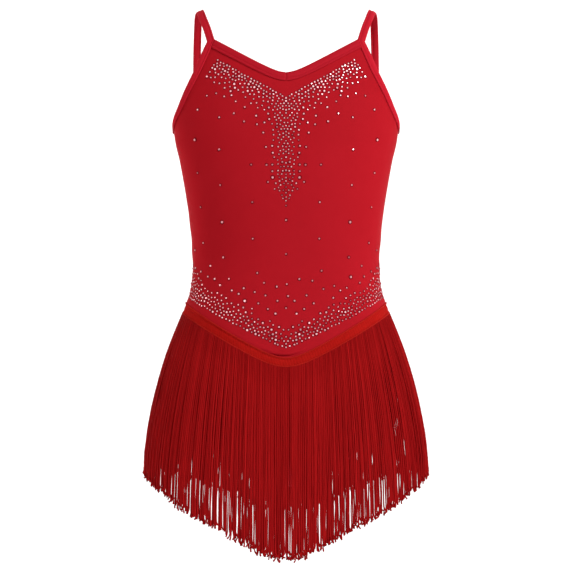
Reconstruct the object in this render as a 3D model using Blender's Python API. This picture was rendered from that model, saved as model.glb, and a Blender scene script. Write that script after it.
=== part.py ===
# Latin dance leotard with a fringe skirt, in the hollow shape it has when worn.
#
# Lengths are in millimetres in the tables and functions, and become metres where a mesh is made.
# The frame is +Z up, the front faces -Y, and +X is the wearer's left. The origin is the point
# midway between the two shoulder straps, level with the undersides that bear on the shoulders.
#
# A place on the cloth is (facing, angle, level): facing FRONT or BACK, the angle in degrees from
# the centre line of that face round to the side seam at 90, and the level in millimetres below
# the shoulder. Below HIP_LEVEL the level runs on under the body to the crotch seam.

import math
import random

import bmesh
import bpy
from mathutils import Vector

MM = 0.001
FRONT = 1
BACK = -1

# Cloth
CLOTH_WALL = 1.2
BINDING_WALL = 1.0
NECK_BINDING_WIDTH = 8.5
SEAM_GAP = 0.3
FOLD_GAP = 0.5  # between a folded strip and the cloth in it

# The strip that binds an armhole and goes on over the shoulder as the strap
LOOP_WIDTH = 6.4
STRAP_SLIT = 0.3  # between the two halves of the folded strip where no cloth lies in it
STRAP_ROLL = 0.45  # how much its outer edge drops over the shoulder
STRAP_SEGMENTS = 24
OVER_SHOULDER = [
    # x, y, z of the left strap's middle, from the front corner to the back corner
    (84.3, -37.5, -22.0),
    (88.4, -26.0, -11.3),
    (91.0, -11.0, -3.2),
    (92.6, 3.0, -0.6),
    (94.4, 17.0, -4.4),
    (96.0, 32.0, -18.5),
    (97.0, 42.0, -42.0),
    (97.2, 46.5, -72.0),
]

# Torso sections, outside the table's ends the nearest row holds
TORSO = [
    # level, half_width, front_depth, back_depth
    (0, 112.0, 40.0, 46.0),
    (32, 118.0, 52.0, 56.0),
    (71, 121.5, 66.0, 66.0),
    (105, 122.5, 77.0, 71.0),
    (134, 120.2, 84.0, 74.0),
    (160, 114.4, 88.0, 74.0),
    (192, 108.5, 88.0, 71.0),
    (225, 103.6, 85.0, 66.0),
    (270, 100.2, 79.0, 61.0),
    (300, 102.5, 79.0, 66.0),
    (330, 110.5, 81.5, 77.0),
    (360, 115.0, 83.5, 85.0),
    (400, 118.0, 84.0, 90.0),
    (435, 119.0, 83.0, 90.0),
]
SECTION_POWER = 2.4  # 2 is an ellipse, more is squarer
HIP_LEVEL = 435.0
CROTCH_DROP = 76.4  # from the hip level down to the crotch
UNDER_RUN = 127.0  # levels from the hip level to the crotch seam

# Edges of the cloth, from the side seam inwards
FRONT_ARMHOLE = [
    # angle, level
    (90.0, 125.0),
    (84.0, 123.0),
    (77.5, 117.5),
    (68.0, 106.5),
    (58.5, 88.0),
    (50.3, 68.5),
    (44.4, 50.0),
    (40.1, 37.0),
]
BACK_ARMHOLE = [
    # angle, level
    (90.0, 125.0),
    (82.0, 123.5),
    (72.0, 119.0),
    (61.0, 112.0),
    (50.5, 103.0),
]
FRONT_LEG = [
    # angle, level
    (90.0, 435.0),
    (67.5, 446.0),
    (45.4, 460.4),
    (30.6, 477.3),
    (19.5, 494.3),
    (13.1, 512.6),
    (10.8, 533.8),
    (10.3, 562.0),
]
BACK_LEG = [
    # angle, level
    (90.0, 435.0),
    (68.0, 451.0),
    (50.0, 469.0),
    (35.0, 489.0),
    (24.0, 509.0),
    (16.5, 528.0),
    (12.0, 545.0),
    (10.3, 562.0),
]
NECK_HALF_WIDTH = {FRONT: 75.5, BACK: 91.5}  # where the neckline meets the straps
NECK_CENTRE_LEVEL = {FRONT: 72.8, BACK: 165.0}
NECK_SLOPE = 0.58  # of the rounded V in front
NECK_ROUNDING = 8.0
SCOOP_POWER = 1.8  # of the curve behind

# Fringe trim: a woven tape along the hips with strands that hang from it
TAPE_SIDE_LEVEL = 314.0
TAPE_ROUNDING = 10.0
TAPE_SLOPE = {FRONT: 0.62, BACK: 0.337}
TAPE_WIDTH = 10.0
TAPE_THICKNESS = 1.5
STRANDS_PER_FACE = 92
STRAND_SHARE = 0.72  # of the pitch, the rest is the gap between strands
STRAND_RINGS = 3
STRAND_TAPER = 0.85
STRAND_LENGTH = {FRONT: 201.0, BACK: 192.0}
SIDE_TRIM = {FRONT: 27.0, BACK: 18.0}  # the strands are this much shorter at the sides
SIDE_FLARE = 41.5
FACE_FLARE = {FRONT: 14.0, BACK: 36.0}
FLARE_SPREAD = 2.2
FLARE_POWER = 1.95
STRAND_UNEVEN = 3.0

# Mesh density
ARMHOLE_COLUMNS = 9
FOOT = ARMHOLE_COLUMNS + 2  # the column at the outer edge of the strap's foot, its inner edge is the next
NECK_COLUMNS = 6
YOKE_ROWS = 5
BODICE_ROWS = 5
SEAT_ROWS = 4
UNDER_ROWS = 7
BASE_LEVEL = {FRONT: 170.0, BACK: 200.0}  # the first level row below the openings

COLOURS = {
    # name: linear red, green, blue, roughness
    "spandex": (0.43, 0.012, 0.022, 0.6),
    "binding": (0.40, 0.011, 0.020, 0.6),
    "fringe": (0.26, 0.006, 0.007, 0.5),
}


def spline_value(rows, at):
    """Row values of a table at `at`, on a smooth curve through the rows."""
    at = min(max(at, rows[0][0]), rows[-1][0])
    i = next(k for k in range(len(rows) - 1) if at <= rows[k + 1][0])
    low, high = rows[i], rows[i + 1]
    before, after = rows[max(i - 1, 0)], rows[min(i + 2, len(rows) - 1)]
    span = high[0] - low[0]
    t = (at - low[0]) / span
    values = []
    for c in range(1, len(low)):
        slope_low = (high[c] - before[c]) / (high[0] - before[0]) * span
        slope_high = (after[c] - low[c]) / (after[0] - low[0]) * span
        values.append(
            (2 * t**3 - 3 * t**2 + 1) * low[c]
            + (t**3 - 2 * t**2 + t) * slope_low
            + (3 * t**2 - 2 * t**3) * high[c]
            + (t**3 - t**2) * slope_high
        )
    return values


def signed_power(value, power):
    return math.copysign(abs(value) ** power, value)


def half_width(level):
    return spline_value(TORSO, level)[0]


def across(angle):
    """How far out a place lies, as a share of the half width."""
    return signed_power(math.sin(math.radians(angle)), 2 / SECTION_POWER)


def angle_at(x, level):
    """The angle at which the section at `level` is x from the centre."""
    share = min(abs(x) / half_width(level), 1.0)
    return math.degrees(math.asin(share ** (SECTION_POWER / 2)))


def surface(facing, angle, level):
    """The point in the middle of the cloth at a place."""
    width, front_depth, back_depth = spline_value(TORSO, level)
    depth = front_depth if facing == FRONT else back_depth
    turn = math.pi / 2 * max(level - HIP_LEVEL, 0) / UNDER_RUN
    deep = signed_power(math.cos(math.radians(angle)), 2 / SECTION_POWER)
    return Vector(
        (
            width * across(angle),
            -facing * (depth * deep * math.cos(turn) + SEAM_GAP / 2),
            -min(level, HIP_LEVEL) - CROTCH_DROP * math.sin(turn),
        )
    )


def slopes(facing, angle, level, step=0.5):
    """The cloth's directions for a growing angle and a growing level, per degree and per level."""
    by_angle = surface(facing, angle + step, level) - surface(facing, angle - step, level)
    by_level = surface(facing, angle, level + step) - surface(facing, angle, level - step)
    return by_angle / (2 * step), by_level / (2 * step)


def normal(facing, angle, level):
    """The outward direction at a place."""
    by_angle, by_level = slopes(facing, angle, level)
    return facing * by_level.cross(by_angle).normalized()


def walk(place, direction, distance, steps=4):
    """The place reached by going `distance` along the cloth in a direction."""
    facing, angle, level = place
    for _ in range(steps):
        by_angle, by_level = slopes(facing, angle, level)
        aa, al, ll = by_angle.dot(by_angle), by_angle.dot(by_level), by_level.dot(by_level)
        da, dl = direction.dot(by_angle), direction.dot(by_level)
        scale = distance / steps / (aa * ll - al * al)
        angle += (da * ll - dl * al) * scale
        level += (dl * aa - da * al) * scale
    return facing, angle, level


def evenly(places, segments):
    """Places at even distances along a chain of places."""
    points = [surface(*place) for place in places]
    run = [0.0]
    for a, b in zip(points, points[1:]):
        run.append(run[-1] + (b - a).length)
    chain = [(r, *place[1:]) for r, place in zip(run, places)]
    spots = [run[-1] * k / segments for k in range(segments + 1)]
    return [(places[0][0], *spline_value(chain, spot)) for spot in spots]


def mix(place, other, share):
    """The place a share of the way from one place to another on the same face."""
    facing, angle, level = place
    return facing, angle + (other[1] - angle) * share, level + (other[2] - level) * share


def neckline(facing, x):
    """The place on the neckline at x from the centre."""
    centre = NECK_CENTRE_LEVEL[facing]
    if facing == FRONT:
        level = centre - math.hypot(NECK_ROUNDING, NECK_SLOPE * x) + NECK_ROUNDING
    else:
        drop = centre - BACK_ARMHOLE[-1][1]
        level = centre - drop * (x / NECK_HALF_WIDTH[facing]) ** SCOOP_POWER
    return facing, angle_at(x, level), level


def set_in(place, along, width):
    """The place that lies `width` in from an edge which runs `along`."""
    inwards = normal(*place).cross(along).normalized()
    if inwards.z > 0:
        inwards = -inwards
    return walk(place, inwards, width)


def crown(facing):
    """The top edge of the left half, from the side seam to the centre, and the row one binding
    width in from it. The edge runs up the armhole to the strap, across it and down the neckline."""
    table = FRONT_ARMHOLE if facing == FRONT else BACK_ARMHOLE
    strap_top = LOOP_WIDTH + NECK_BINDING_WIDTH * 0.6
    armhole = evenly([(facing, *row) for row in table], 40)
    corner = armhole[-1]
    reach = [(surface(*p) - surface(*corner)).length for p in armhole]
    below = max(k for k in range(len(reach)) if reach[k] > strap_top)
    halfway = armhole[(below + len(armhole) - 1) // 2]
    armhole = evenly(armhole[: below + 1], ARMHOLE_COLUMNS) + [halfway]
    half = NECK_HALF_WIDTH[facing]
    neck = evenly([neckline(facing, half * (1 - k / 40)) for k in range(41)], NECK_COLUMNS)

    edge = armhole + [corner] + neck
    points = [surface(*place) for place in edge]
    inner = []
    for k, place in enumerate(edge):
        width = LOOP_WIDTH if k <= FOOT else NECK_BINDING_WIDTH
        along = points[min(k + 1, len(points) - 1)] - points[max(k - 1, 0)]
        inner.append(set_in(place, along, width))
    inner[0] = (facing, 90.0, inner[0][2])
    inner[-1] = (facing, 0.0, inner[-1][2])

    # Where the two strips meet, the row turns on the line from the strap's inner edge
    down = surface(*inner[FOOT - 2]) - points[FOOT + 1]
    along_neck = (points[FOOT + 2] - points[FOOT + 1]).normalized()
    share = NECK_BINDING_WIDTH / along_neck.cross(down).length
    turn = mix(edge[FOOT + 1], inner[FOOT - 2], share)
    inner[FOOT - 1] = mix(inner[FOOT - 2], turn, 1 / 3)
    inner[FOOT] = mix(inner[FOOT - 2], turn, 2 / 3)
    inner[FOOT + 1] = turn
    return edge, inner


def tape_dip(facing, angle):
    """How far the tape's V lies below its level at the side seam."""
    slope = TAPE_SLOPE[facing]
    side_x = half_width(TAPE_SIDE_LEVEL)
    x = side_x * abs(across(angle))
    return math.hypot(TAPE_ROUNDING, slope * side_x) - math.hypot(TAPE_ROUNDING, slope * x)


def tape_height(facing, angle):
    """The tape's height down the body, which is its width seen along its slope."""
    slope = TAPE_SLOPE[facing]
    x = slope * half_width(TAPE_SIDE_LEVEL) * abs(across(angle))
    return TAPE_WIDTH * math.hypot(1, slope * x / math.hypot(TAPE_ROUNDING, x))


def panel_rows(facing):
    """All rows of a face from the neckline to the crotch seam, each from one side seam to the other."""
    edge, under_edge = crown(facing)
    columns = len(edge) - 1
    halves = [edge, under_edge]
    shares = [1 - k / columns for k in range(columns + 1)]

    for j in range(1, YOKE_ROWS + 1):
        t = j / YOKE_ROWS
        halves.append(
            [
                (facing, a + (90 * shares[k] - a) * t, l + (BASE_LEVEL[facing] - l) * t)
                for k, (_, a, l) in enumerate(under_edge)
            ]
        )

    def level_row(level, dip):
        angles = [90 * share for share in shares]
        return [(facing, a, level + dip * tape_dip(facing, a)) for a in angles]

    bodice_drop = TAPE_SIDE_LEVEL - BASE_LEVEL[facing]
    for j in range(1, BODICE_ROWS + 1):
        t = j / BODICE_ROWS
        halves.append(level_row(BASE_LEVEL[facing] + bodice_drop * t, t))
    tape_top = halves[-1]
    tape_bottom = [(f, a, l + tape_height(f, a)) for f, a, l in tape_top]
    halves.append(tape_bottom)
    for j in range(1, SEAT_ROWS + 1):
        t = j / SEAT_ROWS
        halves.append([(f, a, l + (HIP_LEVEL - l) * t) for f, a, l in tape_bottom])

    leg = FRONT_LEG if facing == FRONT else BACK_LEG
    for j in range(1, UNDER_ROWS + 1):
        level = HIP_LEVEL + UNDER_RUN * j / UNDER_ROWS
        (leg_angle,) = spline_value([(l, a) for a, l in leg], level)
        halves.append([(facing, leg_angle * share, level) for share in shares])
    return [half + [(f, -a, l) for f, a, l in reversed(half[:-1])] for half in halves]


TAPE_ROW = 1 + YOKE_ROWS + BODICE_ROWS


def new_object(name, mesh, colour, collection):
    if colour not in bpy.data.materials:
        red, green, blue, roughness = COLOURS[colour]
        material = bpy.data.materials.new(colour)
        material.use_nodes = True
        shader = material.node_tree.nodes["Principled BSDF"]
        shader.inputs["Base Color"].default_value = (red, green, blue, 1)
        shader.inputs["Roughness"].default_value = roughness
    mesh.materials.append(bpy.data.materials[colour])
    thing = bpy.data.objects.new(name, mesh)
    collection.objects.link(thing)
    return thing


def finish(name, bm, colour, collection):
    """The mesh that was built, as an object with its faces outward and its rims sharp."""
    bmesh.ops.recalc_face_normals(bm, faces=bm.faces)
    mesh = bpy.data.meshes.new(name)
    bm.to_mesh(mesh)
    bm.free()
    mesh.shade_smooth()
    mesh.set_sharp_from_angle(angle=math.radians(50))
    return new_object(name, mesh, colour, collection)


def cloth(name, rows, wall, colour, collection):
    """A cloth wall on a grid of (point, outward direction), row by row."""
    bm = bmesh.new()
    outer = [[bm.verts.new((p + n * wall / 2) * MM) for p, n in row] for row in rows]
    inner = [[bm.verts.new((p - n * wall / 2) * MM) for p, n in row] for row in rows]
    for skin in (outer, inner):
        for upper, lower in zip(skin, skin[1:]):
            for k in range(len(upper) - 1):
                bm.faces.new((upper[k], upper[k + 1], lower[k + 1], lower[k]))
    rim = [(0, k) for k in range(len(rows[0]))]
    rim += [(r, len(rows[0]) - 1) for r in range(1, len(rows))]
    rim += [(len(rows) - 1, k) for k in range(len(rows[0]) - 2, -1, -1)]
    rim += [(r, 0) for r in range(len(rows) - 2, 0, -1)]
    for (r0, k0), (r1, k1) in zip(rim, rim[1:] + rim[:1]):
        bm.faces.new((outer[r0][k0], outer[r1][k1], inner[r1][k1], inner[r0][k0]))
    return finish(name, bm, colour, collection)


def loft(name, rings, colour, collection, closed=False):
    """A body through rings of corners, capped at both ends or closed on itself."""
    bm = bmesh.new()
    made = [[bm.verts.new(p * MM) for p in ring] for ring in rings]
    if closed:
        made.append(made[0])
    for ring, after in zip(made, made[1:]):
        for k in range(len(ring)):
            n = (k + 1) % len(ring)
            bm.faces.new((ring[k], ring[n], after[n], after[k]))
    if not closed:
        bm.faces.new(made[0])
        bm.faces.new(made[-1])
    return finish(name, bm, colour, collection)


def folded_ring(edge, edge_out, inner, inner_out, slit):
    """Corners of a strip folded over an edge. The slit is half of what lies between its halves."""
    far = slit + BINDING_WALL
    away = (edge - inner).normalized()
    fold = FOLD_GAP + BINDING_WALL
    return [
        inner + inner_out * far,
        edge + edge_out * far,
        edge + edge_out * far * 0.55 + away * fold,
        edge - edge_out * far * 0.55 + away * fold,
        edge - edge_out * far,
        inner - inner_out * far,
        inner - inner_out * slit,
        edge - edge_out * slit + away * FOLD_GAP,
        edge + edge_out * slit + away * FOLD_GAP,
        inner + inner_out * slit,
    ]


def cloth_ring(edge, inner):
    """The folded ring round the cloth between two places."""
    slit = CLOTH_WALL / 2 + FOLD_GAP
    return folded_ring(surface(*edge), normal(*edge), surface(*inner), normal(*inner), slit)


def mirrored(rings):
    return [[Vector((-p.x, p.y, p.z)) for p in ring] for ring in rings]


def neck_binding(name, facing, collection):
    """A strip folded over the neckline from one strap to the other."""
    edge, inner = crown(facing)
    half = list(zip(edge[FOOT + 1 :], inner[FOOT + 1 :]))
    clear = 2 * SEAM_GAP / (surface(*half[0][0]) - surface(*half[1][0])).length
    half[0] = (mix(half[0][0], half[1][0], clear), mix(half[0][1], half[1][1], clear))
    rings = [cloth_ring(*pair) for pair in half]
    return loft(name, rings + mirrored(rings[:-1])[::-1], "binding", collection)


def strap_rings():
    """Rings of the left strap above the cloth, from front to back."""
    feet = {}
    for facing in (FRONT, BACK):
        edge, _ = crown(facing)
        feet[facing] = (surface(*edge[FOOT]), surface(*edge[FOOT + 1]))
    inwards = Vector((-1, 0, STRAP_ROLL)).normalized()
    known = [((feet[FRONT][0] + feet[FRONT][1]) / 2, (feet[FRONT][1] - feet[FRONT][0]).normalized())]
    known += [(Vector(row), inwards) for row in OVER_SHOULDER]
    known.append(((feet[BACK][0] + feet[BACK][1]) / 2, (feet[BACK][1] - feet[BACK][0]).normalized()))
    run = [0.0]
    for (p, _), (q, _) in zip(known, known[1:]):
        run.append(run[-1] + (q - p).length)
    path = [(r, *p, *w) for r, (p, w) in zip(run, known)]
    rings = []
    for i in range(1, STRAP_SEGMENTS):
        at = run[-1] * i / STRAP_SEGMENTS
        here = Vector(spline_value(path, at)[:3])
        along = Vector(spline_value(path, at + 1)[:3]) - Vector(spline_value(path, at - 1)[:3])
        along.normalize()
        width = Vector(spline_value(path, at)[3:])
        width = (width - along * width.dot(along)).normalized()
        out = along.cross(width).normalized()
        edge, inner = here - width * LOOP_WIDTH / 2, here + width * LOOP_WIDTH / 2
        rings.append(folded_ring(edge, out, inner, out, STRAP_SLIT / 2))
    return rings


def strap_loop(name, side, collection):
    """One strip round an armhole and over the shoulder."""
    rings = {}
    for facing in (FRONT, BACK):
        edge, inner = crown(facing)
        pairs = list(zip(edge[: FOOT - 1], inner[: FOOT - 1]))
        pairs += [(edge[FOOT - 1], inner[FOOT]), (edge[FOOT], edge[FOOT + 1])]
        rings[facing] = [cloth_ring(*pair) for pair in pairs]
    around = rings[BACK][1:][::-1] + rings[FRONT] + strap_rings()
    if side < 0:
        around = mirrored(around)
    return loft(name, around, "binding", collection, closed=True)


def along_row(row, share):
    """Point, outward direction and angle at a share of the way along a row of places."""
    points = [surface(*place) for place in row]
    run = [0.0]
    for a, b in zip(points, points[1:]):
        run.append(run[-1] + (b - a).length)
    goal = share * run[-1]
    i = min(next((k for k in range(1, len(run)) if run[k] >= goal), len(run) - 1), len(run) - 1)
    t = (goal - run[i - 1]) / (run[i] - run[i - 1])
    out = normal(*row[i - 1]).lerp(normal(*row[i]), t).normalized()
    angle = row[i - 1][1] + (row[i][1] - row[i - 1][1]) * t
    return points[i - 1].lerp(points[i], t), out, angle


def hang(facing, angle, t):
    """How far a strand's point has moved from its root, t of the way down."""
    outwards = 1 - (1 - t) ** FLARE_POWER
    side = abs(across(angle))
    deep = signed_power(math.cos(math.radians(angle)), 2 / SECTION_POWER)
    length = STRAND_LENGTH[facing] - SIDE_TRIM[facing] * side**3
    return Vector(
        (
            math.copysign(SIDE_FLARE * side**FLARE_SPREAD, angle) * outwards,
            -facing * FACE_FLARE[facing] * deep * outwards,
            -length * t,
        )
    )


def fringe(name, facing, collection):
    """The tape along the hips and its strands, in one piece: each strand grows from the tape's lower rim."""
    top_row, bottom_row = panel_rows(facing)[TAPE_ROW : TAPE_ROW + 2]
    inner_lift = CLOTH_WALL / 2 + SEAM_GAP
    outer_lift = inner_lift + TAPE_THICKNESS
    uneven = random.Random(7 + facing)
    bm = bmesh.new()

    end_gap = SEAM_GAP / 400  # keeps the two tapes apart at the side seams
    cuts = []
    for k in range(STRANDS_PER_FACE):
        start = (k + (1 - STRAND_SHARE) / 2) / STRANDS_PER_FACE
        cuts += [start, start + STRAND_SHARE / STRANDS_PER_FACE]
    cuts[0], cuts[-1] = end_gap, 1 - end_gap

    columns = []
    for share in cuts:
        top, top_out, _ = along_row(top_row, share)
        low, low_out, angle = along_row(bottom_row, share)
        corners = (
            top + top_out * outer_lift,
            top + top_out * inner_lift,
            low + low_out * inner_lift,
            low + low_out * outer_lift,
        )
        columns.append(([bm.verts.new(p * MM) for p in corners], angle))

    for k in range(len(columns) - 1):
        (left, left_angle), (right, right_angle) = columns[k], columns[k + 1]
        bm.faces.new((left[3], left[0], right[0], right[3]))
        bm.faces.new((left[0], left[1], right[1], right[0]))
        bm.faces.new((left[1], left[2], right[2], right[1]))
        ring = [left[2], left[3], right[3], right[2]]
        if k % 2 == 1:
            bm.faces.new(ring)
            continue
        angle = (left_angle + right_angle) / 2
        longer = 1 + uneven.uniform(-STRAND_UNEVEN, STRAND_UNEVEN) / STRAND_LENGTH[facing]
        root = [v.co.copy() for v in ring]
        centre = sum(root, Vector()) / 4
        for r in range(1, STRAND_RINGS + 1):
            t = r / STRAND_RINGS
            size = 1 + (STRAND_TAPER - 1) * t
            move = hang(facing, angle, t) * longer * MM
            lower = [bm.verts.new(centre + move + (p - centre) * size) for p in root]
            for c in range(4):
                bm.faces.new((ring[c], ring[(c + 1) % 4], lower[(c + 1) % 4], lower[c]))
            ring = lower
        bm.faces.new(ring)
    bm.faces.new(columns[0][0])
    bm.faces.new(columns[-1][0])

    return finish(name, bm, "fringe", collection)


def panel(name, facing, collection):
    """A face of the leotard in one piece, from the neckline through the seat to the crotch seam."""
    rows = [[(surface(*place), normal(*place)) for place in row] for row in panel_rows(facing)]
    return cloth(name, rows, CLOTH_WALL, "spandex", collection)


def build():
    for thing in list(bpy.data.objects):
        bpy.data.objects.remove(thing)
    collection = bpy.data.collections.new("leotard")
    bpy.context.scene.collection.children.link(collection)
    panel("front_panel", FRONT, collection)
    panel("back_panel", BACK, collection)
    neck_binding("neck_binding_front", FRONT, collection)
    neck_binding("neck_binding_back", BACK, collection)
    strap_loop("strap_loop_left", 1, collection)
    strap_loop("strap_loop_right", -1, collection)
    fringe("fringe_front", FRONT, collection)
    fringe("fringe_back", BACK, collection)


build()
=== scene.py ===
# Latin dance leotard: spandex shells, folded strips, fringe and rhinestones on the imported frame.
# Tables and lengths are in millimetres, meshes in metres. +Z is up and the front faces -Y.
# A place on the cloth is (angle, level): degrees from the centre line of its face round to the
# side seam at 90, and millimetres below the shoulder, on under the body to the crotch seam.

import math

import bpy
import numpy as np
from mathutils import Matrix, Vector


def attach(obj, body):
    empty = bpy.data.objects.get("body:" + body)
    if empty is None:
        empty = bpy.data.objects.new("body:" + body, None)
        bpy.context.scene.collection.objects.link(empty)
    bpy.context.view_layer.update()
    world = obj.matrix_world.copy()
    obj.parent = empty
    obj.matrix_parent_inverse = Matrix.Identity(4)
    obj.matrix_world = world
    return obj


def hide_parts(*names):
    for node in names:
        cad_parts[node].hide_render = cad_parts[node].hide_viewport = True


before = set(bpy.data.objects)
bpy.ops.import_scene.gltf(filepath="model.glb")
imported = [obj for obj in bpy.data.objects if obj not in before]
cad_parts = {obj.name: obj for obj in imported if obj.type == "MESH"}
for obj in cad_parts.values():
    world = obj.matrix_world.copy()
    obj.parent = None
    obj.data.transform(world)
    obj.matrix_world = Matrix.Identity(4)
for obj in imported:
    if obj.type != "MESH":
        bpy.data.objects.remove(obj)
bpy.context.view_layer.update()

mm = 0.001
front, back = 1, -1
faceName = {front: "front", back: "back"}
draws = np.random.default_rng(41)

print("stage: body surface")

body = {
    "power": 2.4,  # of the level sections: 2 is an ellipse, more is squarer
    "hipLevel": 435.0,
    "crotchDrop": 76.4,  # from hip level down to the crotch
    "underRun": 127.0,  # levels from hip level to the crotch seam
    "seamGap": 0.02,
    "tapeGap": 0.3,
    "clothWall": 1.2,
}
# level, half width, front depth, back depth
torso = np.array(
    [
        (0, 112.0, 40.0, 46.0), (32, 118.0, 52.0, 56.0), (71, 121.5, 66.0, 66.0),
        (105, 122.5, 77.0, 71.0), (134, 120.2, 84.0, 74.0), (160, 114.4, 88.0, 74.0),
        (192, 108.5, 88.0, 71.0), (225, 103.6, 85.0, 66.0), (270, 100.2, 79.0, 61.0),
        (300, 102.5, 79.0, 66.0), (330, 110.5, 81.5, 77.0), (360, 115.0, 83.5, 85.0),
        (400, 118.0, 84.0, 90.0), (435, 119.0, 83.0, 90.0),
    ]
)
# angle, level, from the side seam inwards
armholeEdge = {
    front: [
        (90.0, 125.0), (83.4, 123.0), (75.8, 117.5), (66.2, 106.5),
        (57.0, 88.0), (49.1, 68.5), (43.7, 50.0), (40.1, 37.0),
    ],
    back: [(90.0, 125.0), (82.0, 123.5), (72.0, 119.0), (61.0, 112.0), (50.5, 103.0)],
}
legEdge = {
    front: [
        (90.0, 435.0), (67.5, 446.0), (45.4, 460.4), (30.6, 477.3),
        (19.5, 494.3), (13.1, 512.6), (10.8, 533.8), (10.3, 562.0),
    ],
    back: [
        (90.0, 435.0), (68.0, 451.0), (50.0, 469.0), (35.0, 489.0),
        (24.0, 509.0), (16.5, 528.0), (12.0, 545.0), (10.3, 562.0),
    ],
}
neck = {
    "halfWidth": {front: 75.5, back: 91.5},
    "centreLevel": {front: 72.8, back: 165.0},
    "slope": 0.58,
    "rounding": 8.0,
    "scoopPower": 1.8,
    "bindingWidth": 8.5,
}


# values of a table at each `at`, on a smooth curve through its rows
def smoothRow(table, at):
    table = np.asarray(table, float)
    keys = table[:, 0]
    at = np.clip(np.asarray(at, float), keys[0], keys[-1])
    i = np.clip(np.searchsorted(keys, at) - 1, 0, len(keys) - 2)
    low, high = table[i], table[i + 1]
    before, after = table[np.maximum(i - 1, 0)], table[np.minimum(i + 2, len(keys) - 1)]
    span = (high[..., :1] - low[..., :1])
    t = (at[..., None] - low[..., :1]) / span
    slopeLow = (high - before) / (high[..., :1] - before[..., :1]) * span
    slopeHigh = (after - low) / (after[..., :1] - low[..., :1]) * span
    value = (2 * t**3 - 3 * t**2 + 1) * low + (t**3 - 2 * t**2 + t) * slopeLow
    value += (3 * t**2 - 2 * t**3) * high + (t**3 - t**2) * slopeHigh
    return value[..., 1:]


def signedPower(value, power):
    return np.sign(value) * np.abs(value) ** power


def across(angle):
    return signedPower(np.sin(np.radians(angle)), 2 / body["power"])


def inwardShare(angle):
    return signedPower(np.cos(np.radians(angle)), 2 / body["power"])


def halfWidth(level):
    return smoothRow(torso, level)[..., 0]


def angleAt(x, level):
    share = np.minimum(np.abs(x) / halfWidth(level), 1.0)
    return np.degrees(np.arcsin(share ** (body["power"] / 2)))


# points in the middle of the cloth at an array of places
def surfaceAt(facing, place):
    angle, level = place[..., 0], place[..., 1]
    size = smoothRow(torso, level)
    depth = size[..., 1] if facing == front else size[..., 2]
    turn = math.pi / 2 * np.maximum(level - body["hipLevel"], 0) / body["underRun"]
    x = size[..., 0] * across(angle)
    y = -facing * (depth * inwardShare(angle) * np.cos(turn) + body["seamGap"] / 2)
    z = -np.minimum(level, body["hipLevel"]) - body["crotchDrop"] * np.sin(turn)
    return np.stack([x, y, z], axis=-1)


def unit(vectors):
    return vectors / np.maximum(np.linalg.norm(vectors, axis=-1, keepdims=True), 1e-9)


def slopesAt(facing, place, step=0.5):
    da, dl = np.array([step, 0.0]), np.array([0.0, step])
    byAngle = (surfaceAt(facing, place + da) - surfaceAt(facing, place - da)) / (2 * step)
    byLevel = (surfaceAt(facing, place + dl) - surfaceAt(facing, place - dl)) / (2 * step)
    return byAngle, byLevel


def outwardAt(facing, place):
    byAngle, byLevel = slopesAt(facing, place)
    return unit(facing * np.cross(byLevel, byAngle))


# places reached by going a distance along the cloth
def walk(facing, place, direction, distance, steps=4):
    place = np.array(place, float)
    for _ in range(steps):
        byAngle, byLevel = slopesAt(facing, place)
        aa = (byAngle * byAngle).sum(-1)
        al = (byAngle * byLevel).sum(-1)
        ll = (byLevel * byLevel).sum(-1)
        da = (direction * byAngle).sum(-1)
        dl = (direction * byLevel).sum(-1)
        scale = distance / steps / (aa * ll - al * al)
        place = place + np.stack([(da * ll - dl * al) * scale, (dl * aa - da * al) * scale], -1)
    return place


# how far along a chain each of its points is
def runAlong(points):
    return np.concatenate([[0], np.cumsum(np.linalg.norm(np.diff(points, axis=0), axis=1))])


# rows of values at distances along their chain
def cutAt(at, run, values):
    return np.column_stack([np.interp(at, run, column) for column in values.T])


# places at even distances along a smooth chain of places
def evenly(facing, places, segments):
    places = np.asarray(places, float)
    run = runAlong(surfaceAt(facing, places))
    return smoothRow(np.column_stack([run, places]), np.linspace(0, run[-1], segments + 1))


def neckline(facing, x):
    x = np.asarray(x, float)
    centre = neck["centreLevel"][facing]
    if facing == front:
        level = centre - np.hypot(neck["rounding"], neck["slope"] * x) + neck["rounding"]
    else:
        drop = centre - armholeEdge[back][-1][1]
        level = centre - drop * (x / neck["halfWidth"][back]) ** neck["scoopPower"]
    return np.stack([angleAt(x, level), level], -1)


def armhole(facing, segments):
    return evenly(facing, evenly(facing, armholeEdge[facing], 40), segments)


def necklineRow(facing, segments):
    half = neck["halfWidth"][facing]
    return evenly(facing, neckline(facing, np.linspace(half, 0, 41)), segments)


# places that lie `width` in from an edge, on its lower side
def setIn(facing, places, width):
    points = surfaceAt(facing, places)
    along = np.gradient(points, axis=0)
    inwards = unit(np.cross(outwardAt(facing, places), along))
    inwards = np.where(inwards[:, 2:3] > 0, -inwards, inwards)
    return walk(facing, places, inwards, width)


def gridFaces(rows, columns, closed=False):
    r = np.arange(rows if closed else rows - 1)[:, None]
    c = np.arange(columns - 1)[None, :]
    n = (r + 1) % rows
    quads = [r * columns + c, r * columns + c + 1, n * columns + c + 1, n * columns + c]
    return np.stack(quads, -1).reshape(-1, 4)


def addObject(name, data):
    thing = bpy.data.objects.new(name, data)
    bpy.context.scene.collection.objects.link(thing)
    return thing


# a mesh as its points and faces are given
def rawMesh(name, points, edges, faces):
    mesh = bpy.data.meshes.new(name)
    mesh.from_pydata(points, edges, faces)
    mesh.update()
    return mesh


# a smooth object from points in millimetres
def newMesh(name, points, faces, material):
    mesh = rawMesh(name, (np.asarray(points) * mm).tolist(), [], [tuple(f) for f in faces])
    mesh.validate()
    mesh.shade_smooth()
    mesh.materials.append(material)
    return addObject(name, mesh)


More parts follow.
